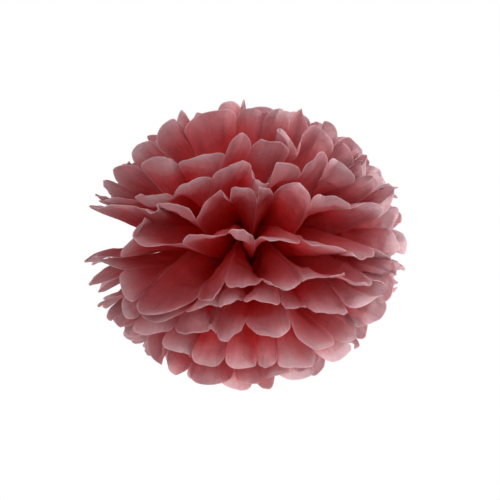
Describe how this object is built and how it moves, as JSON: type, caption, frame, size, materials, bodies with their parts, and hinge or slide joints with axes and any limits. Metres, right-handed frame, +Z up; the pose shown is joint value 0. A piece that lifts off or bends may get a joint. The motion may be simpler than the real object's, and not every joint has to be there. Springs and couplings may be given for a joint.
{
  "type": "tissue paper pom pom",
  "caption": "Flattened ball of pleated tissue paper sheets with rounded petals, tied round the middle with wire and pulled apart.",
  "frame": {"origin": "middle of the tie, inside the wire loop that holds the stack of sheets", "axes": "+Z up through the stack of sheets, X along the two slits where the front fan of each sheet meets its back fan, -Y towards the viewer of the picture"},
  "size_m": [0.3033, 0.304, 0.2734],
  "materials": {
    "tissue_paper": "matt, thin and translucent dusty rose tissue paper with fine creases",
    "tie_wire": "bright galvanised wire"
  },
  "bodies": {
    "root": {"tissue_sheet_01": "tissue_paper", "tissue_sheet_02": "tissue_paper", "tissue_sheet_03": "tissue_paper", "tissue_sheet_04": "tissue_paper", "tissue_sheet_05": "tissue_paper", "tissue_sheet_06": "tissue_paper", "tissue_sheet_07": "tissue_paper", "tissue_sheet_08": "tissue_paper", "tissue_sheet_09": "tissue_paper", "tissue_sheet_10": "tissue_paper", "tissue_sheet_11": "tissue_paper", "tie_wire": "tie_wire"}
  },
  "joints": []
}
